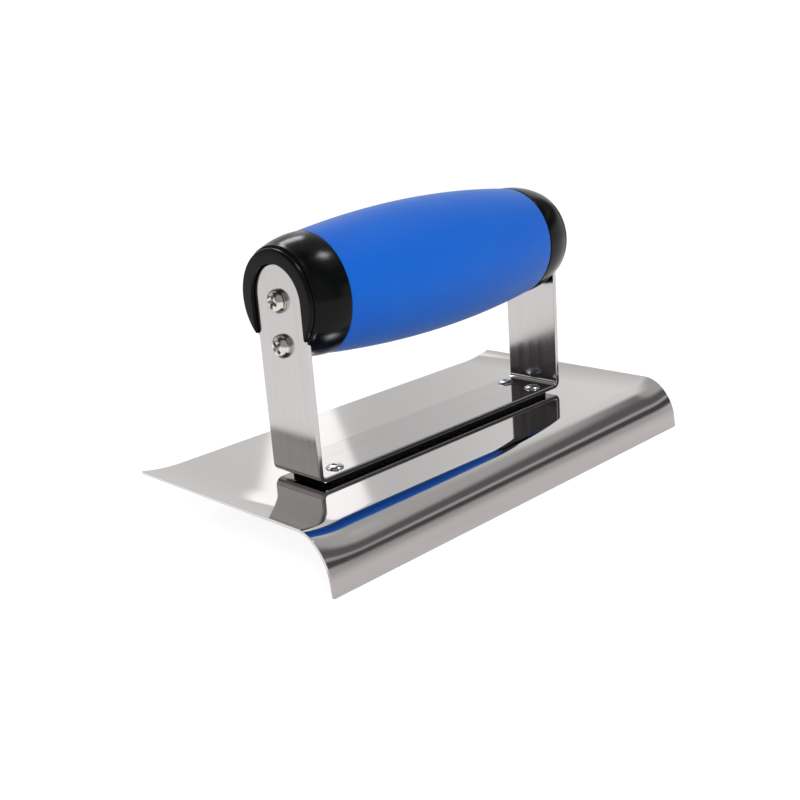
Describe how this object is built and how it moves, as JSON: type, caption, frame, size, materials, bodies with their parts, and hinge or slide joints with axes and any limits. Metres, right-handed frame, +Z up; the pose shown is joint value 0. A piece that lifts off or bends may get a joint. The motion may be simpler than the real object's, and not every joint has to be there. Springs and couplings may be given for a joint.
{
  "type": "hand edging trowel",
  "caption": "Hand trowel with a polished blade bent down along one side, a strap bracket riveted on it and a soft grip screwed between the bracket's legs.",
  "frame": {"origin": "on the underside of the flat of the blade, under the middle of the strap", "axes": "+X across the blade towards the bent-down lip, +Y along the blade, +Z up through the handle"},
  "size_m": [0.0849, 0.16, 0.0887],
  "materials": {
    "polished_sheet": "mirror-polished stainless sheet",
    "satin_strap": "fine satin grain along the strap",
    "screw_nickel": "bright nickel plate",
    "rivet_steel": "dull bright steel",
    "black_strip": "matt black",
    "core_plastic": "moulded",
    "grip_blue": "soft-touch, faint sheen",
    "cap_gloss": "glossy moulded black"
  },
  "bodies": {
    "root": {"blade": "polished_sheet", "strap": "satin_strap", "spacer_strip": "black_strip", "handle_core": "core_plastic", "grip_sleeve": "grip_blue", "end_cap_near": "cap_gloss", "end_cap_far": "cap_gloss", "screw_near_top": "screw_nickel", "screw_near_bottom": "screw_nickel", "screw_far_top": "screw_nickel", "screw_far_bottom": "screw_nickel", "rivet_near_front": "rivet_steel", "rivet_near_back": "rivet_steel", "rivet_far_front": "rivet_steel", "rivet_far_back": "rivet_steel"}
  },
  "joints": []
}
